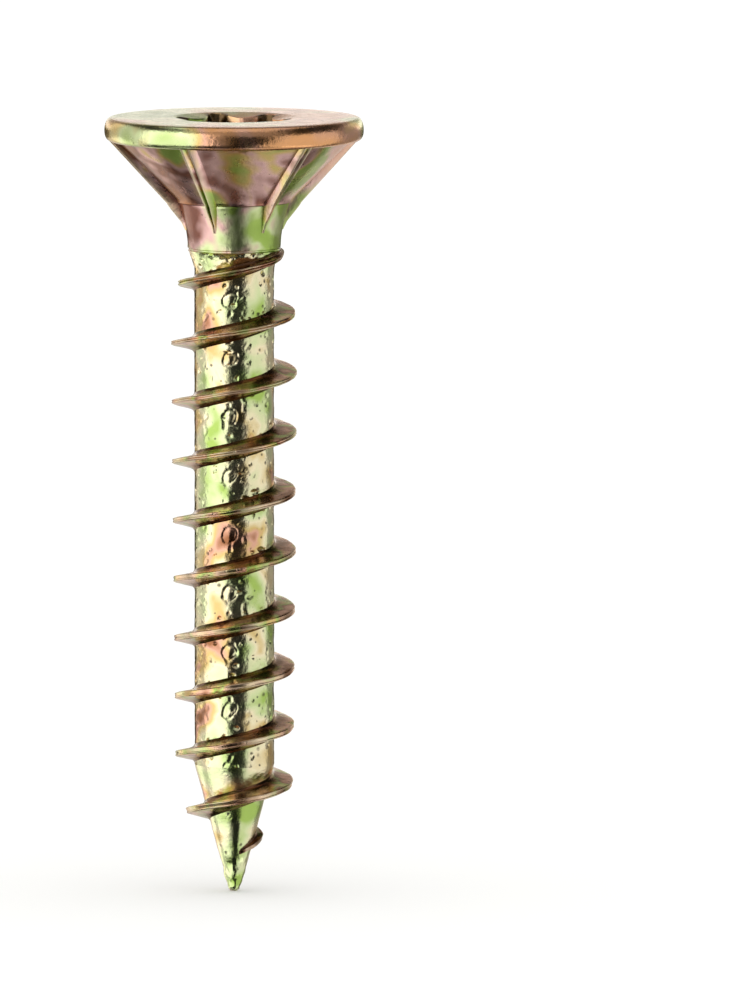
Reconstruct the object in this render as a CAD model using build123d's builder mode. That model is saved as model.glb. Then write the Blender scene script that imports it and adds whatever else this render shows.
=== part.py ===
"""Countersunk wood screw, 5 x 30 mm, with a six-lobe recess, cutting ribs and a coarse thread to the point.

The screw is one forging. It is written as its regions, each a closed solid that meets its neighbours
face to face: head, cutting ribs, neck, threaded core, thread and point.
Frame: the origin is the centre of the head's flat face, +Z points out of the head, and the screw
runs down to -Z, so a depth into the timber is -Z.
"""

from build123d import *
from math import cos, hypot, radians, sin, tan
import os

# ---- driving dimensions, mm and degrees ----
screw_length = 30.0  # the flat of the head to the tip

head_diameter = 10.0  # widest, at the belly of the rim band
rim_height = 0.85
rim_belly_depth = 0.45
rim_top_inset = 0.14  # the flat face's edge inside the belly
rim_bottom_inset = 0.15  # the countersink's top edge inside the belly
rim_edge_radius = 0.08
head_half_angle = 42.5  # the ribs' crests from the screw's axis
rib_end_diameter = 5.22  # across the ribs' crests level with the pockets' lower ends
pocket_depth = 0.22  # how far the ribs stand above the pockets at the rim, square to the wall

recess_across_lobes = 4.5  # size 25 six-lobe drive
recess_across_flats = 3.2
recess_lobe_radius = 0.37
recess_depth = 2.2
recess_floor_depth = 0.45  # the punch's blunt cone below the lobes
recess_mouth_flare = 0.15  # the dished mouth beyond the lobes
recess_mouth_depth = 0.14
recess_lobes = 6
recess_angle = -10.0  # the first lobe's place, from +X

rib_count = 6
rib_angle = 6.5  # the first rib's place round the head, from +X
rib_cut_width = 0.12  # the crest to the foot of the steep, cutting side
rib_back_width = 0.48  # the crest to the foot of the sloping side
rib_tail_share = 0.35  # width left where a rib runs out on the neck
rib_tail = 0.4  # how far a rib runs on below the head, along the axis

neck_top_diameter = 4.3  # where the pockets' floors run out on the neck
neck_length = 1.72
neck_over_core = 0.255  # the plain wire stands this far outside the rolled core
collar_proud = 0.06  # the small roll where the thread dies stopped, outside the neck
collar_height = 0.11

core_diameter = 3.07
core_run_in = 0.8  # the core's taper under the collar

thread_diameter = 4.84  # under the head
thread_end_diameter = 4.56  # at the point
thread_pitch = 2.27
thread_land = 0.15  # the crest's width
thread_upper_flank = 0.12  # each flank's foot from the edge of the crest, along the axis
thread_lower_flank = 0.17
thread_root_spread = 0.27  # the hollow between a flank's foot and the core
thread_root_height = 0.27
thread_root_hollow = 0.05  # how far that hollow's curve dips under its chord
thread_first_crest = 0.14  # the first crest at +X, below the collar
thread_fade_length = 3.5  # the crest rises to its full height over this
thread_fade_bow = 0.1  # how far that rise stands outside a straight line

point_half_angle = 15.0
tip_diameter = 0.42  # the blunt end of the cone, before rounding
tip_round = 0.16
thread_end_gap = 1.5  # the thread's last trace to the tip
thread_taper_length = 2.7  # the crest comes down to the point over this
thread_taper_bow = 0.2  # how far that fall stands outside a straight line

root_sink = 0.12  # how far swept and lofted shapes start inside what they stand on

# ---- derived places ----
head_radius = head_diameter / 2
face_radius = head_radius - rim_top_inset
seat_radius = head_radius - rim_bottom_inset
neck_top_radius = neck_top_diameter / 2
core_radius = core_diameter / 2
neck_radius = core_radius + neck_over_core
collar_radius = neck_radius + collar_proud
tip_radius = tip_diameter / 2
crest_radius = thread_diameter / 2
crest_end_radius = thread_end_diameter / 2

wall_slope = tan(radians(head_half_angle))  # radius lost for each mm down the countersink
pocket_inset = pocket_depth / cos(radians(head_half_angle))  # the pocket's depth measured along a radius
pocket_radius = seat_radius - pocket_inset
neck_z = -(rim_height + (seat_radius - rib_end_diameter / 2) / wall_slope)  # the pockets' lower ends
pocket_end_inset = rib_end_diameter / 2 - neck_top_radius
collar_z = neck_z - neck_length
core_z = collar_z - collar_height
point_slope = tan(radians(point_half_angle))
point_z = -screw_length + (core_radius - tip_radius) / point_slope

# ---- head: rim band, pocketed countersink and six-lobe recess ----
lobe_centre = recess_across_lobes / 2 - recess_lobe_radius
flute_inner = recess_across_flats / 2
half_step = 180 / recess_lobes
lobe_along = lobe_centre * cos(radians(half_step))  # the lobe's centre measured along the flute's radius
flute_radius = (
    lobe_centre**2 - 2 * lobe_along * flute_inner + flute_inner**2 - recess_lobe_radius**2
) / (2 * (lobe_along - flute_inner + recess_lobe_radius))
flute_centre = flute_inner + flute_radius
flute_x = flute_centre * cos(radians(half_step)) - lobe_centre
flute_y = flute_centre * sin(radians(half_step))
lobe_reach = recess_lobe_radius / hypot(flute_x, flute_y)
touch = Vector(lobe_centre + flute_x * lobe_reach, flute_y * lobe_reach)  # where a lobe runs into a flute

with BuildPart() as head:
    with BuildSketch(Plane.XZ):
        with BuildLine():
            Polyline((0, 0), (face_radius, 0))
            ThreePointArc((face_radius, 0), (head_radius, -rim_belly_depth), (seat_radius, -rim_height))
            Polyline(
                (seat_radius, -rim_height),
                (pocket_radius, -rim_height),
                (neck_top_radius, neck_z),
                (0, neck_z),
                (0, 0),
            )
        make_face()
    revolve()
    fillet(head.edges().group_by(Axis.Z)[-1], rim_edge_radius)
    with BuildSketch():
        with BuildLine():
            for lobe in range(recess_lobes):
                turn = recess_angle + lobe * 2 * half_step
                start = Vector(touch.X, -touch.Y).rotate(Axis.Z, turn)
                tip = Vector(recess_across_lobes / 2, 0).rotate(Axis.Z, turn)
                end = touch.rotate(Axis.Z, turn)
                flute = Vector(flute_inner, 0).rotate(Axis.Z, turn + half_step)
                next_start = Vector(touch.X, -touch.Y).rotate(Axis.Z, turn + 2 * half_step)
                ThreePointArc(start, tip, end)
                ThreePointArc(end, flute, next_start)
        make_face()
    extrude(amount=-recess_depth, mode=Mode.SUBTRACT)
    with BuildSketch(Plane.XZ):
        with BuildLine():
            Polyline(
                (0, -recess_depth),
                (flute_inner, -recess_depth),
                (0, -recess_depth - recess_floor_depth),
                close=True,
            )
        make_face()
    revolve(mode=Mode.SUBTRACT)
    with BuildSketch(Plane.XZ):
        with BuildLine():
            Polyline(
                (0, 0),
                (recess_across_lobes / 2 + recess_mouth_flare, 0),
                (flute_inner, -recess_mouth_depth),
                (0, -recess_mouth_depth),
                close=True,
            )
        make_face()
    revolve(mode=Mode.SUBTRACT)
head.part.label = "head"


# ---- neck: the plain throat between the countersink and the thread, ending in a rolled collar ----
with BuildPart() as neck:
    with BuildSketch(Plane.XZ):
        with BuildLine():
            Polyline((0, core_z), (0, neck_z), (neck_top_radius, neck_z))
            TangentArc((neck_radius, collar_z), (neck_top_radius, neck_z), tangent=(0, 1))
            ThreePointArc(
                (neck_radius, collar_z),
                (collar_radius, collar_z - collar_height / 2),
                (neck_radius, core_z),
            )
            Line((neck_radius, core_z), (0, core_z))
        make_face()
    revolve()
neck.part.label = "neck"


# ---- core: the threaded stretch of the shank, between the collar and the point ----
with BuildPart() as core:
    with BuildSketch(Plane.XZ):
        with BuildLine():
            Polyline(
                (0, core_z),
                (neck_radius, core_z),
                (core_radius, core_z - core_run_in),
                (core_radius, point_z),
                (0, point_z),
                close=True,
            )
        make_face()
    revolve()
core.part.label = "core"


# ---- point: the rolled cone, blunt at its tip ----
with BuildPart() as point:
    with BuildSketch(Plane.XZ) as point_half:
        with BuildLine():
            Polyline(
                (0, point_z),
                (core_radius, point_z),
                (tip_radius, -screw_length),
                (0, -screw_length),
                close=True,
            )
        make_face()
        fillet(point_half.vertices().group_by(Axis.Z)[0].sort_by(Axis.X)[-1], tip_round)
    revolve()
point.part.label = "point"


# ---- cutting ribs: six fins down the countersink, steep on the side that cuts as the screw turns in ----
def rib_section(z, share, inset):
    """A rib's outline at height z: crest on the countersink's wall, foot inside the pocket's floor."""
    crest = seat_radius + (z + rim_height) * wall_slope
    foot = crest - inset - root_sink
    Polyline(
        (crest, 0),
        (foot, -rib_cut_width * share),
        (foot, rib_back_width * share),
        close=True,
    )


with BuildPart() as rib:
    with BuildSketch(Plane.XY.offset(-rim_height)):
        with BuildLine():
            rib_section(-rim_height, 1, pocket_inset)
        make_face()
    with BuildSketch(Plane.XY.offset(neck_z - rib_tail)):
        with BuildLine():
            rib_section(neck_z - rib_tail, rib_tail_share, pocket_end_inset)
        make_face()
    loft(ruled=True)
    add(head.part, mode=Mode.SUBTRACT)
    add(neck.part, mode=Mode.SUBTRACT)

with BuildPart() as cutting_ribs:
    with PolarLocations(0, rib_count, start_angle=rib_angle):
        add(rib.part)
cutting_ribs.part.label = "cutting_ribs"


# ---- thread: one right-hand ridge, swept up the core and down the point from where they meet ----
first_crest_z = core_z - thread_first_crest  # at +X
join_angle = 360 * (point_z - first_crest_z) / thread_pitch
outward = Vector(cos(radians(join_angle)), sin(radians(join_angle)), 0)
join_section = Plane((0, 0, point_z), x_dir=outward, z_dir=outward.cross(Vector(0, 0, 1)))
thread_top_z = core_z + thread_pitch / 8
thread_end_z = -(screw_length - thread_end_gap)
thread_end_radius = core_radius - (point_z - thread_end_z) * point_slope
taper_z = thread_end_z + thread_taper_length
fade_z = core_z - thread_fade_length

foot_radius = core_radius + thread_root_height
sunk_radius = core_radius - root_sink
over_crest = crest_radius + root_sink
land_half = thread_land / 2
upper_foot = land_half + thread_upper_flank
upper_root = upper_foot + thread_root_spread
lower_foot = -land_half - thread_lower_flank
lower_root = lower_foot - thread_root_spread

join = Pos(0, 0, point_z) * Rot(Z=join_angle)
up_path = join * Helix(pitch=thread_pitch, height=thread_top_z - point_z, radius=core_radius)
down_path = join * Rot(X=180) * Helix(
    pitch=thread_pitch / cos(radians(point_half_angle)),
    height=point_z - thread_end_z + thread_pitch / 4,
    radius=core_radius,
    cone_angle=-point_half_angle,
)

with BuildSketch(join_section) as tooth:
    with BuildLine():
        Polyline(
            (foot_radius, lower_foot),
            (over_crest, -land_half),
            (over_crest, land_half),
            (foot_radius, upper_foot),
        )
        SagittaArc((foot_radius, upper_foot), (sunk_radius, upper_root), thread_root_hollow)
        Line((sunk_radius, upper_root), (sunk_radius, lower_root))
        SagittaArc((sunk_radius, lower_root), (foot_radius, lower_foot), thread_root_hollow)
    make_face()

with BuildPart() as thread:
    sweep(tooth.sketch, path=up_path, is_frenet=True)
    sweep(tooth.sketch, path=down_path, is_frenet=True)
    with BuildSketch(Plane.XZ):
        with BuildLine():
            Polyline((0, core_z), (0, thread_end_z), (thread_end_radius, thread_end_z))
            SagittaArc((thread_end_radius, thread_end_z), (crest_end_radius, taper_z), -thread_taper_bow)
            Line((crest_end_radius, taper_z), (crest_radius, fade_z))
            SagittaArc((crest_radius, fade_z), (collar_radius, core_z), -thread_fade_bow)
            Line((collar_radius, core_z), (0, core_z))
        make_face()
    revolve(mode=Mode.INTERSECT)
    add(core.part, mode=Mode.SUBTRACT)
    add(point.part, mode=Mode.SUBTRACT)
thread.part.label = "thread"

os.makedirs("parts", exist_ok=True)
for piece in (head, cutting_ribs, neck, core, thread, point):
    export_step(piece.part, f"parts/{piece.part.label}.step")
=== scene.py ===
import math

import bmesh
import bpy
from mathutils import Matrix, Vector, noise


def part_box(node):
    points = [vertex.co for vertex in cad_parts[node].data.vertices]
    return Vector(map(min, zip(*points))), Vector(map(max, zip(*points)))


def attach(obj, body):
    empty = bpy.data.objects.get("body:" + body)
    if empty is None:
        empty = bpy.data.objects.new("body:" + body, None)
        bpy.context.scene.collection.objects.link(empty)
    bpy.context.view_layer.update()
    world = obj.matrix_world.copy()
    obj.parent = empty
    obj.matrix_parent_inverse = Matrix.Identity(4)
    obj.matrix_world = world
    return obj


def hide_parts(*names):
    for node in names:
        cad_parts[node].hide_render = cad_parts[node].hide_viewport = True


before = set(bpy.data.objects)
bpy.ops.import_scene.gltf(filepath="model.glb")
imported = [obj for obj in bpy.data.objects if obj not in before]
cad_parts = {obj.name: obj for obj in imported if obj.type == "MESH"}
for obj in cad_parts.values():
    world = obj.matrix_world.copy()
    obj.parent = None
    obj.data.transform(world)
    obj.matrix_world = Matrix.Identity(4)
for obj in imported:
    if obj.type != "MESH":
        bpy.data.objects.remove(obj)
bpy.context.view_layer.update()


# ---- head ----
# The countersunk head, cold forged from the wire's end in one blow: a rounded rim band, six shallow
# pockets round the countersink, and the six-lobe recess that the punch leaves. Zinc plated steel.
def start_piece(name):
    """Names the primitive just added and leaves it in edit mode, all selected."""
    piece = bpy.context.object
    piece.name = piece.data.name = name
    bpy.ops.object.transform_apply(location=True, rotation=True, scale=True)
    bpy.ops.object.mode_set(mode="EDIT")
    bpy.ops.mesh.select_all(action="SELECT")
    return piece


def pull_ring(radius_now, radius_next, rise):
    """Extrudes the selected ring, then scales it about the screw's axis and lifts it."""
    bpy.ops.mesh.extrude_region_move(TRANSFORM_OT_translate={"value": (0, 0, rise)})
    share = radius_next / radius_now
    bpy.ops.transform.resize(value=(share, share, 1), center_override=(0, 0, 0))


def pull_outline(outline):
    """Pulls the selected ring along an outline of (radius, height) points, the first being where it is."""
    for (radius_now, z_now), (radius_next, z_next) in zip(outline, outline[1:]):
        pull_ring(radius_now, radius_next, z_next - z_now)


def select_ring(piece, radius, z, reach=0.004):
    """Selects the ring of vertices at that radius and height, and nothing else."""
    mesh = bmesh.from_edit_mesh(piece.data)
    bpy.ops.mesh.select_all(action="DESELECT")
    bpy.ops.mesh.select_mode(type="VERT")
    for vertex in mesh.verts:
        if abs(vertex.co.xy.length - radius) < reach and abs(vertex.co.z - z) < reach:
            vertex.select_set(True)
    mesh.select_flush(True)
    bmesh.update_edit_mesh(piece.data)


def finish_piece(piece, node, crease=35):
    """Leaves edit mode, turns millimetres into metres, shades the piece and seats it on the screw."""
    bpy.ops.mesh.select_all(action="SELECT")
    bpy.ops.mesh.normals_make_consistent(inside=False)
    bpy.ops.object.mode_set(mode="OBJECT")
    piece.scale = (0.001, 0.001, 0.001)
    bpy.ops.object.select_all(action="DESELECT")
    piece.select_set(True)
    bpy.context.view_layer.objects.active = piece
    bpy.ops.object.transform_apply(location=True, rotation=True, scale=True)
    bpy.ops.object.shade_smooth_by_angle(angle=math.radians(crease))
    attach(piece, "root")
    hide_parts(node)


head_steps = 288
head_radius = 5.0
rim_height = 0.85
seat_radius = 4.85
wall_slope = math.tan(math.radians(42.5))
pocket_inset = 0.27
neck_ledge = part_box("neck")[1].z * 1000
pocket_radius = seat_radius - pocket_inset
rib_count = 6
rib_angle = math.radians(6.5)

lobe_centre, lobe_radius = 1.88, 0.37
flute_centre, flute_radius = 2.538, 0.938
mouth_radius = 2.40
mouth_depth = 0.14
flute_inner = 1.6
recess_turn = math.radians(-10)
recess_depth = 2.2
recess_floor = 2.65


def lobed_radius(angle):
    """How far the recess's wall is from the axis in that direction."""
    sixth = math.pi / 3
    off_lobe = abs((angle - recess_turn + sixth / 2) % sixth - sixth / 2)
    off_flute = sixth / 2 - off_lobe
    flute_gap = flute_radius**2 - (flute_centre * math.sin(off_flute)) ** 2
    on_lobe = lobe_centre * math.cos(off_lobe) + math.sqrt(
        max(0, lobe_radius**2 - (lobe_centre * math.sin(off_lobe)) ** 2)
    )
    if off_lobe < math.radians(10.3):
        return on_lobe
    return flute_centre * math.cos(off_flute) - math.sqrt(max(0, flute_gap))


bpy.ops.object.select_all(action="DESELECT")
bpy.ops.mesh.primitive_circle_add(vertices=head_steps, radius=mouth_radius, location=(0, 0, 0))
head = start_piece("screw_head")
pull_outline([(mouth_radius, 0), (2.58, 0.0), (3.4, 0.0), (4.3, 0.0), (4.72, -0.002)])
rim = [
    (4.72, -0.002), (4.79, -0.012), (4.845, -0.04), (4.89, -0.09), (4.93, -0.155), (4.965, -0.24),
    (4.988, -0.34), (head_radius, -0.45), (4.997, -0.56), (4.985, -0.65), (4.962, -0.725),
    (4.93, -0.785), (4.89, -0.83), (seat_radius, -rim_height),
]
pull_outline(rim)
pocket_top = -rim_height - 0.07
pocket_end_inset = 0.45
neck_top_radius = 2.14
shelf = [(seat_radius - 0.05, -rim_height - 0.03), (pocket_radius + 0.06, pocket_top + 0.012)]
floor_rings = 24
lip_height = 0.16
floor = []
for ring in range(floor_rings + 1):
    z = pocket_top + (neck_ledge + lip_height - pocket_top) * ring / floor_rings
    inset = pocket_inset + (pocket_end_inset - pocket_inset) * ring / floor_rings
    floor.append((seat_radius - inset + (z + rim_height) * wall_slope, z))
lip = [
    (floor[-1][0] - 0.045, neck_ledge + 0.09), (floor[-1][0] - 0.06, neck_ledge + 0.05),
    (neck_top_radius - 0.03, neck_ledge + 0.015), (neck_top_radius - 0.035, neck_ledge - 0.02),
]
pull_outline([rim[-1]] + shelf + floor + lip)
bpy.ops.mesh.edge_face_add()

# The recess: its mouth is dished, then the wall drops straight to a blunt cone.
select_ring(head, mouth_radius, 0)
pull_ring(mouth_radius, 2.3, -0.01)
mesh = bmesh.from_edit_mesh(head.data)
mouth_slope = mouth_depth / (mouth_radius - flute_inner)
for vertex in [v for v in mesh.verts if v.select]:
    angle = math.atan2(vertex.co.y, vertex.co.x)
    radius = lobed_radius(angle) + 0.03
    vertex.co = Vector((
        radius * math.cos(angle),
        radius * math.sin(angle),
        -(mouth_radius - radius) * mouth_slope,
    ))
bmesh.update_edit_mesh(head.data)
for drop, inward in ((0.05, 0.03), (0.9, 0.0), (recess_depth - 1.1, 0.0)):
    bpy.ops.mesh.extrude_region_move(TRANSFORM_OT_translate={"value": (0, 0, -drop)})
    mesh = bmesh.from_edit_mesh(head.data)
    for vertex in [v for v in mesh.verts if v.select]:
        vertex.co.xy *= 1 - inward / vertex.co.xy.length
    bmesh.update_edit_mesh(head.data)
mesh = bmesh.from_edit_mesh(head.data)
for vertex in [v for v in mesh.verts if v.select]:
    vertex.co.z = -recess_depth
bmesh.update_edit_mesh(head.data)
bpy.ops.mesh.extrude_region_move(TRANSFORM_OT_translate={"value": (0, 0, recess_depth - recess_floor)})
bpy.ops.mesh.merge(type="CENTER")

# Each pocket is scooped a hair deeper in its middle than beside the ribs.
mesh = bmesh.from_edit_mesh(head.data)
for vertex in mesh.verts:
    radius, z = vertex.co.xy.length, vertex.co.z
    if radius > 2.3 and neck_ledge + lip_height < z < pocket_top - 0.01:
        share = ((math.atan2(vertex.co.y, vertex.co.x) - rib_angle) * rib_count / (2 * math.pi)) % 1
        down = (z - pocket_top) / (neck_ledge + lip_height - pocket_top)
        scoop = 0.045 * math.sin(math.pi * share) ** 0.6 * math.sin(math.pi * down) ** 0.5
        ripple = 0.006 * noise.noise(vertex.co * 1.1)
        vertex.co.xy *= 1 - (scoop + ripple) / radius
bmesh.update_edit_mesh(head.data)
finish_piece(head, "head")
# Painted shade: the shade attribute darkens the recess's lobes fully and its flutes more the deeper they go,
# where shade falls inside the recess.
shade = head.data.attributes.new("shade", "FLOAT", "POINT")
for vertex in head.data.vertices:
    radius, z = vertex.co.xy.length * 1000, vertex.co.z * 1000
    if radius < 2.35 and -2.9 < z < -0.04:
        shade.data[vertex.index].value = 1.0 if radius > 1.9 else min(1.0, max(0.0, (-z - 0.6) / 0.6))


# Bright electroplated zinc under a yellow chromate film. The film's thickness drifts over a millimetre
# or two, so the straw gold turns leaf green and rose in patches; the zinc under it is glossy and pitted.
def linear(hex_colour):
    """An sRGB hex colour as linear RGBA."""
    channels = [int(hex_colour[place:place + 2], 16) / 255 for place in (1, 3, 5)]
    return [c / 12.92 if c <= 0.04045 else ((c + 0.055) / 1.055) ** 2.4 for c in channels] + [1]


def add_node(tree, kind, settings=None, links=None):
    """Adds a node, sets its properties and sockets, and links what comes in. Returns the node."""
    node = tree.nodes.new(kind)
    for name, value in (settings or {}).items():
        if isinstance(name, int) or name in node.inputs:
            node.inputs[name].default_value = value
        else:
            setattr(node, name, value)
    for name, source in (links or {}).items():
        tree.links.new(source, node.inputs[name])
    return node


def set_ramp(node, stops):
    """Gives a colour ramp its (place, colour) stops."""
    ramp = node.color_ramp
    while len(ramp.elements) > 1:
        ramp.elements.remove(ramp.elements[-1])
    ramp.elements[0].position, ramp.elements[0].color = stops[0]
    for place, colour in stops[1:]:
        ramp.elements.new(place).color = colour


def passivated_zinc(name, film_stops, lean, patch_mm, pit_mm, pit_share, gloss, shade_colour):
    """Yellow chromate on zinc. Where the piece's own shade attribute rises, the colour is darkened towards a
    dark brown as painted shade; where its worn attribute rises, a pale cream is mixed in as a painted
    highlight and the surface is rougher.
    """
    material = bpy.data.materials.new(name)
    material.use_nodes = True
    tree = material.node_tree
    tree.nodes.clear()
    spot = add_node(tree, "ShaderNodeTexCoord").outputs["Object"]
    film = add_node(
        tree,
        "ShaderNodeTexNoise",
        {"Scale": 1000 / patch_mm, "Detail": 2.5, "Roughness": 0.5, "Distortion": 0.3},
        {"Vector": spot},
    )
    round_it = add_node(tree, "ShaderNodeVectorMath", {"operation": "MULTIPLY", 1: (1, 1, 0)}, {0: spot})
    unit = add_node(tree, "ShaderNodeVectorMath", {"operation": "NORMALIZE"}, {0: round_it.outputs[0]})
    side = add_node(
        tree, "ShaderNodeVectorMath", {"operation": "DOT_PRODUCT", 1: lean}, {0: unit.outputs[0]}
    )
    thickness = add_node(
        tree,
        "ShaderNodeMath",
        {"operation": "ADD"},
        {0: film.outputs["Fac"], 1: side.outputs["Value"]},
    )
    colours = add_node(tree, "ShaderNodeValToRGB", links={"Fac": thickness.outputs["Value"]})
    set_ramp(colours, film_stops)
    pits = add_node(
        tree, "ShaderNodeTexVoronoi", {"Scale": 1000 / pit_mm, "Randomness": 1.0}, {"Vector": spot}
    )
    pit_place = add_node(tree, "ShaderNodeTexNoise", {"Scale": 1000 / 0.9, "Detail": 2}, {"Vector": spot})
    pit_size = add_node(
        tree,
        "ShaderNodeMapRange",
        {"From Min": 0.40, "From Max": 0.68, "To Min": 0.0, "To Max": pit_share},
        {"Value": pit_place.outputs["Fac"]},
    )
    pit_depth = add_node(
        tree,
        "ShaderNodeMapRange",
        {"From Min": 0.0, "To Min": 1.0, "To Max": 0.0},
        {"Value": pits.outputs["Distance"], "From Max": pit_size.outputs["Result"]},
    )
    pitted = add_node(
        tree,
        "ShaderNodeMix",
        {"data_type": "RGBA", 7: linear("#2a1a0c")},
        {"Factor": pit_depth.outputs["Result"], 6: colours.outputs["Color"]},
    )
    # Painted shade: the shade attribute mixes the film colour towards a dark brown where shade falls, in the
    # recess and at the thread's roots.
    shade = add_node(tree, "ShaderNodeAttribute", {"attribute_name": "shade"})
    painted_shade_mix = add_node(
        tree,
        "ShaderNodeMix",
        {"data_type": "RGBA", 7: linear(shade_colour)},
        {"Factor": shade.outputs["Fac"], 6: pitted.outputs[2]},
    )
    # Painted highlight: the worn attribute mixes a pale cream into the colour along crests and lips, and
    # also raises the roughness there.
    wear_and_highlight = add_node(tree, "ShaderNodeAttribute", {"attribute_name": "worn"})
    painted_highlight_mix = add_node(
        tree,
        "ShaderNodeMix",
        {"data_type": "RGBA", 7: linear("#e6d6b4")},
        {"Factor": wear_and_highlight.outputs["Fac"], 6: painted_shade_mix.outputs[2]},
    )
    sheen = add_node(
        tree, "ShaderNodeTexNoise", {"Scale": 1000 / 0.7, "Detail": 4, "Roughness": 0.6}, {"Vector": spot}
    )
    rough = add_node(
        tree,
        "ShaderNodeMapRange",
        {"From Min": 0.3, "From Max": 0.75, "To Min": gloss, "To Max": gloss + 0.14},
        {"Value": sheen.outputs["Fac"]},
    )
    dulled = add_node(
        tree,
        "ShaderNodeMath",
        {"operation": "MULTIPLY_ADD", 1: 0.15},
        {0: wear_and_highlight.outputs["Fac"], 2: rough.outputs["Result"]},
    )
    grain = add_node(
        tree, "ShaderNodeTexNoise", {"Scale": 1000 / 0.16, "Detail": 3, "Roughness": 0.6}, {"Vector": spot}
    )
    relief = add_node(
        tree,
        "ShaderNodeMath",
        {"operation": "MULTIPLY_ADD", 1: -2.0},
        {0: pit_depth.outputs["Result"], 2: grain.outputs["Fac"]},
    )
    bump = add_node(
        tree,
        "ShaderNodeBump",
        {"Strength": 0.6, "Distance": 0.00002},
        {"Height": relief.outputs["Value"]},
    )
    surface = add_node(
        tree,
        "ShaderNodeBsdfPrincipled",
        {"Metallic": 1.0, "Coat Weight": 0.35, "Coat Roughness": 0.12, "Specular Tint": linear("#f5e6d4")},
        {
            "Base Color": painted_highlight_mix.outputs[2],
            "Roughness": dulled.outputs["Value"],
            "Normal": bump.outputs["Normal"],
        },
    )
    add_node(tree, "ShaderNodeOutputMaterial", links={"Surface": surface.outputs["BSDF"]})
    return material


rose, straw, mint, leaf, moss = (linear(c) for c in ("#dba78c", "#d4b672", "#d2dca4", "#a2bd5c", "#93b04a"))
umber, plum, lilac, tan = (linear(c) for c in ("#9a6440", "#8a5a4c", "#dcb2aa", "#dca06a"))
# The dark brown that painted shade mixes in.
dark_shade_colour = "#2c2012"
rim_zinc = passivated_zinc(
    "yellow_passivated_zinc_rim",
    [(0.34, tan), (0.42, rose), (0.49, straw), (0.56, mint), (0.66, leaf), (0.78, moss)],
    lean=(-0.12, 0, 0), patch_mm=3.2, pit_mm=0.4, pit_share=0.14, gloss=0.20, shade_colour="#5a4426",
)
countersink_zinc = passivated_zinc(
    "yellow_passivated_zinc_countersink",
    [
        (0.32, umber), (0.38, plum), (0.43, lilac), (0.47, straw), (0.51, leaf), (0.57, moss),
        (0.63, lilac), (0.72, rose),
    ],
    lean=(0.13, -0.02, 0), patch_mm=3.2, pit_mm=0.4, pit_share=0.12, gloss=0.24, shade_colour=dark_shade_colour,
)
head.data.materials.append(rim_zinc)
head.data.materials.append(countersink_zinc)
for face in head.data.polygons:
    if face.center.z * 1000 < -rim_height - 0.02 and face.normal.xy.dot(face.center.xy) > 0:
        face.material_index = 1


# ---- neck ----
# The plain throat under the head, drawn in as the head was upset. It stands a little proud of the
# pockets, and ends in the small roll of metal that the thread dies push up against it.
neck_radius = 1.79
collar_proud = 0.06
collar_height = 0.11
core_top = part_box("core")[1].z * 1000
collar_top = core_top + collar_height
neck_steps = 288


def throat_radius(z):
    """The throat's radius: steep under the countersink, and parallel to the axis at the collar."""
    left = max(0, z - collar_top) / (neck_ledge - collar_top)
    return neck_radius + (neck_top_radius - neck_radius) * left**1.7


def arc_points(first, middle, last, steps):
    """Points on the circle through three (radius, height) points, first and last included."""
    (ax, ay), (bx, by), (cx, cy) = first, middle, last
    turn = 2 * (ax * (by - cy) + bx * (cy - ay) + cx * (ay - by))
    a2, b2, c2 = ax * ax + ay * ay, bx * bx + by * by, cx * cx + cy * cy
    ox = (a2 * (by - cy) + b2 * (cy - ay) + c2 * (ay - by)) / turn
    oy = (a2 * (cx - bx) + b2 * (ax - cx) + c2 * (bx - ax)) / turn
    start = math.atan2(ay - oy, ax - ox)
    sweep = (math.atan2(cy - oy, cx - ox) - start + math.pi) % (2 * math.pi) - math.pi
    radius = math.hypot(ax - ox, ay - oy)
    angles = [start + sweep * step / steps for step in range(steps + 1)]
    return [(ox + radius * math.cos(angle), oy + radius * math.sin(angle)) for angle in angles]


throat_rings = 44
throat = [
    neck_ledge + (collar_top - neck_ledge) * ring / throat_rings for ring in range(throat_rings + 1)
]
neck_start = (neck_top_radius - 0.04, neck_ledge + 0.02)
bpy.ops.mesh.primitive_circle_add(vertices=neck_steps, radius=neck_start[0], location=(0, 0, neck_start[1]))
neck = start_piece("screw_neck")
bpy.ops.mesh.edge_face_add()
outline = [neck_start, (neck_top_radius - 0.012, neck_ledge + 0.008)]
outline += [(throat_radius(z), z) for z in throat[1:]]
outline += arc_points(
    (neck_radius, collar_top),
    (neck_radius + collar_proud, core_top + collar_height / 2),
    (neck_radius - 0.01, core_top),
    6,
)[1:]
pull_outline(outline)
bpy.ops.mesh.edge_face_add()
mesh = bmesh.from_edit_mesh(neck.data)
for vertex in mesh.verts:
    if vertex.co.z < neck_ledge - 0.02 and vertex.co.xy.length > 1.7:
        low = max(0, 1 - (vertex.co.z - core_top) / 0.75)
        wear = noise.noise(vertex.co * 1.5) * 0.008
        wear += noise.noise(vertex.co * 4.5) * (0.002 + 0.022 * low**2)
        vertex.co.xy *= 1 + wear / vertex.co.xy.length
bmesh.update_edit_mesh(neck.data)
finish_piece(neck, "neck")
neck_zinc = passivated_zinc(
    "yellow_passivated_zinc_neck",
    [(0.34, plum), (0.42, lilac), (0.50, mint), (0.57, leaf), (0.68, moss)],
    lean=(0.10, 0, 0), patch_mm=1.9, pit_mm=0.33, pit_share=0.2, gloss=0.29, shade_colour=dark_shade_colour,
)
neck.data.materials.append(neck_zinc)


# ---- core ----
# The shank under the thread, rolled down from the plain wire. Between the turns it keeps the dies'
# faint ripples and the small pits of pressed-in scale.
core_radius = 1.535
core_run_in = 0.8
core_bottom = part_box("core")[0].z * 1000
core_steps = 224
ring_height = 0.055
pitch = 2.27
first_crest = core_top - 0.14
mark_angle = math.radians(-96)
mark_radius = 0.26


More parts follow.
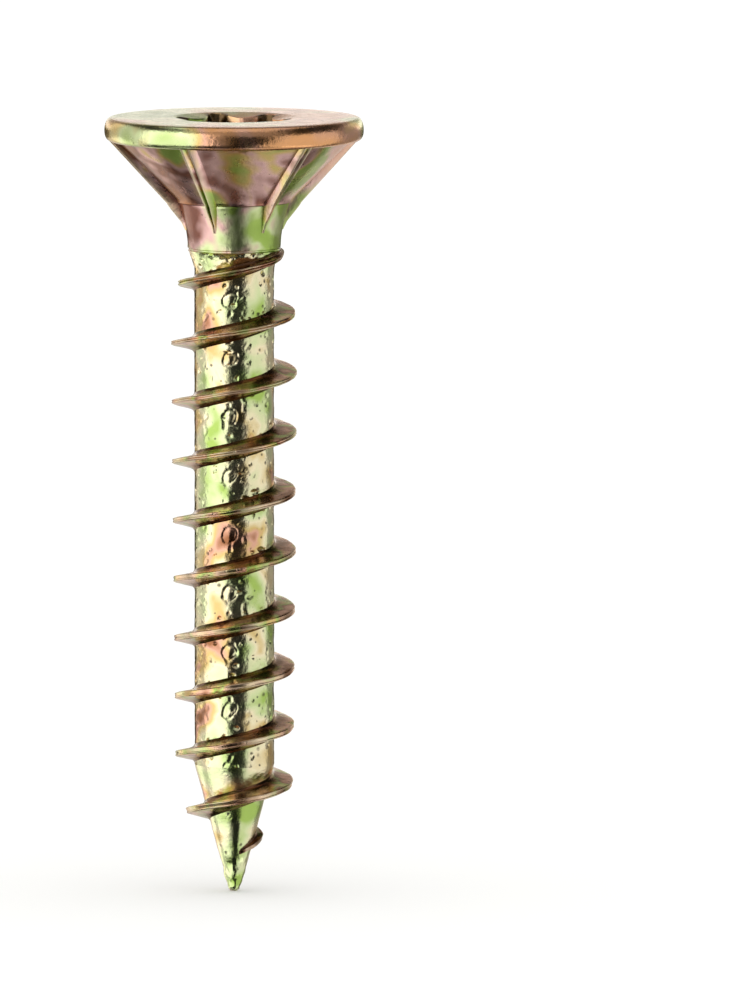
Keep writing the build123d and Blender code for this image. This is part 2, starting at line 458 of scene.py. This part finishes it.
def worn(place):
    """How far the die has left the core's surface in or out at that place, in millimetres."""
    slow = Vector((place.x * 1.3, place.y * 1.3, place.z * 1.6))
    return (
        noise.noise(slow) * 0.014
        + noise.noise(slow * 2.3) * 0.009
        + noise.noise(slow * 5.1) * 0.006
        - max(0, noise.noise(slow * 3.1 + Vector((9, 4, 2))) - 0.32) * 0.14
    )


def die_mark(place):
    """The little ringed dimple that the dies print at the same side of every turn."""
    angle = math.atan2(place.y, place.x)
    around = ((angle - mark_angle + math.pi) % (2 * math.pi) - math.pi) * core_radius
    if abs(around) > 0.5:
        return 0
    turn = (place.z - first_crest - angle / (2 * math.pi) * pitch) / pitch % 1
    up = (turn - 0.53) * pitch
    wobble = 1 + 0.25 * noise.noise(Vector((around * 3, up * 3, place.z)))
    off = math.hypot(around, up) * wobble
    ring = math.exp(-(((off - mark_radius) / 0.055) ** 2))
    middle = math.exp(-((off / 0.12) ** 2))
    return 0.016 * middle - 0.032 * ring


bpy.ops.mesh.primitive_circle_add(vertices=core_steps, radius=neck_radius, location=(0, 0, core_top))
core = start_piece("screw_core")
bpy.ops.mesh.edge_face_add()
run_in_rings = 16
run_in = [
    (
        core_radius + (neck_radius - core_radius) * (1 - share / run_in_rings) ** 1.6,
        core_top - core_run_in * share / run_in_rings,
    )
    for share in range(run_in_rings + 1)
]
rings = round((core_top - core_run_in - core_bottom) / ring_height)
straight = [
    (core_radius, core_top - core_run_in + (core_bottom - core_top + core_run_in) * ring / rings)
    for ring in range(1, rings + 1)
]
pull_outline(run_in + straight)
bpy.ops.mesh.edge_face_add()
mesh = bmesh.from_edit_mesh(core.data)
for vertex in mesh.verts:
    if core_bottom + 0.02 < vertex.co.z < core_top - 0.02 and vertex.co.xy.length > 1:
        rough = 1 + 2.2 * max(0, 1 - (core_top - vertex.co.z) / 0.9)
        vertex.co.xy *= 1 + (worn(vertex.co) * rough + die_mark(vertex.co)) / vertex.co.xy.length
bmesh.update_edit_mesh(core.data)
finish_piece(core, "core")
cream = linear("#eee2ba")
shank_zinc = passivated_zinc(
    "yellow_passivated_zinc_shank",
    [(0.26, umber), (0.33, rose), (0.40, straw), (0.50, cream), (0.60, mint), (0.70, leaf)],
    lean=(0.05, -0.03, 0), patch_mm=1.7, pit_mm=0.33, pit_share=0.36, gloss=0.16, shade_colour=dark_shade_colour,
)
core.data.materials.append(shank_zinc)


# ---- point ----
# The point, rolled to a cone and pinched off blunt by the dies, with the folds that this leaves.
point_slope = math.tan(math.radians(15))
point_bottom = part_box("point")[0].z * 1000
tip_radius = 0.21
point_rings = 60

bpy.ops.mesh.primitive_circle_add(vertices=160, radius=core_radius, location=(0, 0, core_bottom))
point = start_piece("screw_point")
bpy.ops.mesh.edge_face_add()
tip_top = point_bottom + 0.14
cone = [
    (
        core_radius - (core_bottom - tip_top) * ring / point_rings * point_slope,
        core_bottom + (tip_top - core_bottom) * ring / point_rings,
    )
    for ring in range(point_rings + 1)
]
pull_outline(cone + [(tip_radius, point_bottom + 0.075), (0.15, point_bottom + 0.022), (0.06, point_bottom)])
bpy.ops.mesh.edge_face_add()
mesh = bmesh.from_edit_mesh(point.data)
for vertex in mesh.verts:
    radius, z = vertex.co.xy.length, vertex.co.z
    if radius > 0.05 and z < core_bottom - 0.05:
        near_tip = max(0, 1 - (z - point_bottom) / 1.9)
        place = vertex.co * 2.4
        fold = noise.noise(place) * (0.014 + 0.06 * near_tip)
        fold -= abs(noise.noise(place * 2.1)) * 0.08 * near_tip
        vertex.co.xy *= 1 + fold / radius * min(1, radius / 0.2)
bmesh.update_edit_mesh(point.data)
finish_piece(point, "point", crease=50)
point.data.materials.append(shank_zinc)


# ---- thread ----
# One right-hand ridge squeezed up from the core by the rolling dies, hollow at its roots. It starts low
# under the collar, where the dies have not filled its crest, and runs down the point until it dies out.
thread_end = -28.45
taper_length = 2.7
sag = 0.12  # the middle turns lie this much lower than an even pitch would put them
fade_length = 3.5
crest_radius = 2.43
crest_end_radius = 2.28
collar_radius = neck_radius + collar_proud
turn_steps = 128
turns_below = (first_crest - thread_end) / pitch
turns = turns_below + 0.12


def root_radius(z):
    """The surface that the thread stands on."""
    if z > core_top - core_run_in:
        share = min(1, (z - core_top + core_run_in) / core_run_in)
        return core_radius + (neck_radius - core_radius) * share**1.6
    if z > core_bottom:
        return core_radius
    return max(0.05, core_radius - (core_bottom - z) * point_slope)


def crest_at(z):
    """The radius of the thread's crest, risen from the collar at the top and fallen to the point below."""
    if z > core_top - fade_length:
        share = max(0, (core_top - z) / fade_length)
        return collar_radius + 0.02 + (crest_radius - collar_radius - 0.02) * (1 - (1 - share) ** 1.7)
    if z > thread_end + taper_length:
        share = (core_top - fade_length - z) / (core_top - fade_length - thread_end - taper_length)
        return crest_radius + (crest_end_radius - crest_radius) * share
    share = max(0, (z - thread_end) / taper_length)
    end = root_radius(thread_end)
    return end + (crest_end_radius - end) * (1 - (1 - share) ** 1.5)


# The tooth's outline as (height above the root as a share, distance from its middle) at full height.
tooth = [
    (-0.10, -0.42), (0.03, -0.36), (0.07, -0.30), (0.15, -0.245), (0.30, -0.195), (0.55, -0.145),
    (0.80, -0.105), (0.93, -0.085), (0.985, -0.062), (1.0, -0.04), (0.99, -0.018), (0.965, 0.0),
    (0.99, 0.018), (1.0, 0.04), (0.985, 0.062), (0.93, 0.08), (0.80, 0.095), (0.55, 0.125),
    (0.30, 0.165), (0.15, 0.21), (0.07, 0.26), (0.03, 0.32), (-0.10, 0.38),
]
full_height = crest_radius - core_radius
start_angle = -2 * math.pi * (turns_below % 1)
outward = Vector((math.cos(start_angle), math.sin(start_angle), 0))
bpy.ops.mesh.primitive_plane_add(size=1, location=(0, 0, 0))
thread = start_piece("screw_thread")
bpy.ops.mesh.merge(type="CENTER")
bpy.ops.transform.translate(
    value=outward * (core_radius + tooth[0][0] * full_height) + Vector((0, 0, thread_end + tooth[0][1]))
)
for (height_now, off_now), (height_next, off_next) in zip(tooth, tooth[1:]):
    step = outward * (height_next - height_now) * full_height + Vector((0, 0, off_next - off_now))
    bpy.ops.mesh.extrude_region_move(TRANSFORM_OT_translate={"value": step})
bpy.ops.mesh.select_all(action="SELECT")
bpy.ops.mesh.edge_face_add()
bpy.ops.object.mode_set(mode="OBJECT")
screw = thread.modifiers.new("rolled", "SCREW")
screw.angle = 2 * math.pi * turns
screw.screw_offset = pitch * turns
screw.steps = screw.render_steps = int(turn_steps * turns)
screw.use_smooth_shade = True
bpy.ops.object.modifier_apply(modifier="rolled")
for vertex in thread.data.vertices:
    radius = vertex.co.xy.length
    angle = math.atan2(vertex.co.y, vertex.co.x) / (2 * math.pi)
    rise = (vertex.co.z - first_crest) / pitch
    middle = first_crest + (round(rise - angle) + angle) * pitch
    off, height = vertex.co.z - middle, (radius - core_radius) / full_height
    here = crest_at(middle) - root_radius(middle)
    share = max(0.0, min(1, here / full_height))
    unfilled = max(0, 1 - (first_crest - middle) / 3.4, 1 - (middle - thread_end) / 1.4)
    swell = max(0, min(1, (-11 - middle) / 8))
    if off < 0:
        off -= 0.08 * swell * min(1, 0.5 + height)
    if height > 0.9:
        groove = max(0, 1 - abs(off) / 0.035)
        height -= groove * 0.09 * unfilled
        off *= 1 + 0.7 * unfilled
    run = max(0, min(1, (first_crest - middle) / (first_crest - thread_end)))
    lowered = sag * math.sin(math.pi * run)
    z = middle - lowered + off * (0.25 + 0.75 * share**0.7)
    new_radius = root_radius(z) + height * here if height > 0 else root_radius(z) - 0.07
    place = Vector((vertex.co.x, vertex.co.y, vertex.co.z))
    new_radius += max(0, height) * (noise.noise(place * 0.8) * 0.03 + noise.noise(place * 2.9) * 0.012)
    waver = noise.noise(place * 0.7 + Vector((7, 3, 1))) * 0.035 + noise.noise(place * 2.3) * 0.010
    z += max(0, height) * waver
    vertex.co = Vector((new_radius * vertex.co.x / radius, new_radius * vertex.co.y / radius, z))
# Painted shade: the shade attribute darkens the thread the nearer it lies to its root on the core, where
# shade falls between the turns.
shade = thread.data.attributes.new("shade", "FLOAT", "POINT")
# Painted highlight along the crest: the worn attribute is set in patches where the thread stands highest,
# paling its colour and roughening it.
crest_wear_and_highlight = thread.data.attributes.new("worn", "FLOAT", "POINT")
for vertex in thread.data.vertices:
    above = vertex.co.xy.length - root_radius(vertex.co.z)
    shade.data[vertex.index].value = max(0.0, min(1.0, 0.85 - above / 0.7))
    share = above / max(0.1, crest_at(vertex.co.z) - root_radius(vertex.co.z))
    patchy = 0.45 + 0.9 * noise.noise(vertex.co * 1.1)
    on_crest = max(0.0, min(1.0, (share - 0.9) / 0.08))
    crest_wear_and_highlight.data[vertex.index].value = on_crest * max(0.0, min(0.9, patchy))
bpy.ops.object.mode_set(mode="EDIT")
bpy.ops.mesh.select_all(action="SELECT")
bpy.ops.mesh.fill_holes(sides=0)
finish_piece(thread, "thread", crease=60)
thread_zinc = passivated_zinc(
    "yellow_passivated_zinc_thread",
    [(0.36, umber), (0.43, rose), (0.49, straw), (0.54, leaf), (0.60, umber), (0.68, rose)],
    lean=(0.02, 0.0, 0), patch_mm=1.3, pit_mm=0.33, pit_share=0.25, gloss=0.17, shade_colour="#4a3014",
)
thread.data.materials.append(thread_zinc)


# ---- cutting ribs ----
# Six fins on the countersink, forged with the head. Each has a steep side that cuts as the screw turns
# in, a fine double lip along its crest and a sloping back, and it runs out on the neck.
rib_rows = 34
rib_tail = 1.05
# The crest's radius at heights below the head, where it runs out on the throat.
rib_run = [(0.0, 2.61), (0.14, 2.53), (0.44, 2.29), (0.75, 2.04), (1.05, 1.90)]
# Across a rib at its head end: (distance from the crest, height as a share).
rib_across = [
    (-0.20, -0.4), (-0.13, 0.0), (-0.06, 0.88), (-0.03, 0.98), (0.0, 1.0), (0.035, 0.92), (0.09, 0.55),
    (0.14, 0.42), (0.19, 0.5), (0.25, 0.80), (0.29, 0.84), (0.33, 0.76), (0.50, 0.12), (0.58, 0.0),
    (0.66, -0.4),
]
rib_top = -rim_height + 0.04
rib_end = neck_ledge - rib_tail
bpy.ops.object.select_all(action="DESELECT")
bpy.ops.mesh.primitive_grid_add(x_subdivisions=len(rib_across) - 1, y_subdivisions=rib_rows, size=1)
first_rib = start_piece("cutting_rib_1")


def narrowing(row):
    """A rib's width at that share of its length, as a share of its width at the rim."""
    return 1 - 0.82 * row**1.4


mesh = bmesh.from_edit_mesh(first_rib.data)
out = Vector((math.cos(rib_angle), math.sin(rib_angle), 0))
along = Vector((-out.y, out.x, 0))
for vertex in mesh.verts:
    side, height = rib_across[round((vertex.co.x + 0.5) * (len(rib_across) - 1))]
    row = vertex.co.y + 0.5
    z = rib_top + (rib_end - rib_top) * row
    down = (rib_top - z) / (rib_top - neck_ledge)
    if z > neck_ledge:
        crest = seat_radius + (z + rim_height) * wall_slope
        ground = crest - pocket_inset + (pocket_inset - pocket_end_inset) * down
    else:
        ground = throat_radius(z) - 0.01
        below = neck_ledge - z
        for (low, wide_end), (high, narrow_end) in zip(rib_run, rib_run[1:]):
            if low <= below <= high + 0.001:
                crest = wide_end + (narrow_end - wide_end) * (below - low) / (high - low)
    across = (side - 0.1) * narrowing(row)
    radius = ground + (crest - ground) * height if height > 0 else ground - 0.12
    vertex.co = out * math.sqrt(max(0.01, radius**2 - across**2)) + along * across + Vector((0, 0, z))
bmesh.update_edit_mesh(first_rib.data)
bpy.ops.mesh.select_all(action="SELECT")
bpy.ops.mesh.extrude_region_move(TRANSFORM_OT_translate={"value": -out * 0.12})
bpy.ops.mesh.select_all(action="SELECT")
finish_piece(first_rib, "cutting_ribs", crease=50)
first_rib.data.materials.append(countersink_zinc)

# Painted highlight: the worn attribute marks the two crest lines of each rib's double lip, paling their
# colour and roughening them.
rib_wear_and_highlight = first_rib.data.attributes.new("worn", "FLOAT", "POINT")
for vertex in first_rib.data.vertices:
    row = min(1, max(0, (rib_top - vertex.co.z * 1000) / (rib_top - rib_end)))
    side = vertex.co.dot(along) * 1000 / narrowing(row) + 0.1
    nearest = min(abs(side), abs(side - 0.28))
    rib_wear_and_highlight.data[vertex.index].value = max(0.0, 1 - nearest / 0.085)

for rib in range(1, rib_count):
    fin = first_rib.copy()
    fin.data = first_rib.data.copy()
    fin.name = fin.data.name = f"cutting_rib_{rib + 1}"
    bpy.context.collection.objects.link(fin)
    fin.rotation_euler = (0, 0, rib * 2 * math.pi / rib_count)
    bpy.ops.object.select_all(action="DESELECT")
    fin.select_set(True)
    bpy.context.view_layer.objects.active = fin
    bpy.ops.object.transform_apply(location=True, rotation=True, scale=True)
    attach(fin, "root")
    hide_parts("cutting_ribs")


# ---- floor, light and camera ----
# A plain white table that shows to the eye but not in the metal, and a ring of soft panels round it.
bpy.ops.object.select_all(action="DESELECT")
floor_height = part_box("point")[0].z
bpy.ops.mesh.primitive_plane_add(size=6, location=(0, 0, floor_height))
table_top = bpy.context.object
table_top.name = "white_table"
table_top.visible_glossy = False
white = bpy.data.materials.new("matt_white_laminate")
white.use_nodes = True
white.node_tree.nodes["Principled BSDF"].inputs["Base Color"].default_value = linear("#f6f6f4")
white.node_tree.nodes["Principled BSDF"].inputs["Roughness"].default_value = 0.9
white.node_tree.nodes["Principled BSDF"].inputs["Specular IOR Level"].default_value = 0.0
table_top.data.materials.append(white)

room = bpy.data.worlds.new("studio")
bpy.context.scene.world = room
room.use_nodes = True
room.node_tree.nodes.clear()
ray = add_node(room.node_tree, "ShaderNodeLightPath")
brightness = add_node(
    room.node_tree,
    "ShaderNodeMapRange",
    {"To Min": 1.16, "To Max": 0.02},
    {"Value": ray.outputs["Is Glossy Ray"]},
)
glow = add_node(
    room.node_tree,
    "ShaderNodeBackground",
    {"Color": (1, 1, 1, 1)},
    {"Strength": brightness.outputs["Result"]},
)
add_node(room.node_tree, "ShaderNodeOutputWorld", links={"Surface": glow.outputs["Background"]})


def soft_panel(name, azimuth, elevation, width, height, strength):
    """A square-on softbox half a metre off. Azimuth 0 is the camera's side and 90 is +X, in degrees."""
    light = bpy.data.lights.new(name, "AREA")
    light.shape = "RECTANGLE"
    reach = 0.5
    light.size = 2 * reach * math.tan(math.radians(width / 2))
    light.size_y = 2 * reach * math.tan(math.radians(height / 2))
    light.energy = strength * math.pi * light.size * light.size_y
    lamp = bpy.data.objects.new(name, light)
    bpy.context.collection.objects.link(lamp)
    a, e = math.radians(azimuth), math.radians(elevation)
    towards = Vector((math.sin(a) * math.cos(e), -math.cos(a) * math.cos(e), math.sin(e)))
    lamp.location = towards * reach + Vector((0, 0, -0.015))
    lamp.rotation_euler = towards.to_track_quat("Z", "Y").to_euler()
    lamp.visible_camera = False
    lamp.visible_diffuse = False


soft_panel("key_left", -56, -4, 74, 76, 1.65)
soft_panel("side_left", -121, -5, 50, 76, 0.72)
soft_panel("fill_right", 73, -19, 76, 74, 0.98)
soft_panel("side_right", 136, -6, 44, 60, 0.36)
soft_panel("back_wall", 180, 6, 70, 10, 1.5)
soft_panel("back_high", 180, 24, 90, 24, 0.5)
soft_panel("back_floor", -160, -27, 80, 34, 0.85)
soft_panel("below_left", -100, -70, 30, 26, 0.7)
soft_panel("below_right", 100, -66, 50, 40, 0.75)
soft_panel("above", 0, 84, 60, 60, 0.8)
soft_panel("above_front", -12, 40, 96, 42, 0.34)

camera_data = bpy.data.cameras.new("long_lens")
camera_data.lens = 800
camera_data.sensor_width = 36
camera_data.clip_start, camera_data.clip_end = 0.01, 20
camera = bpy.data.objects.new("long_lens", camera_data)
bpy.context.collection.objects.link(camera)
stand_off = 0.8576
camera_rise = math.radians(5.8)
aim = Vector((0.00543, 0, -0.01482))
back_off = Vector((0, -math.cos(camera_rise), math.sin(camera_rise)))
camera.location = aim + back_off * stand_off
camera.rotation_euler = back_off.to_track_quat("Z", "Y").to_euler()
bpy.context.scene.camera = camera
bpy.context.scene.view_settings.view_transform = "Standard"
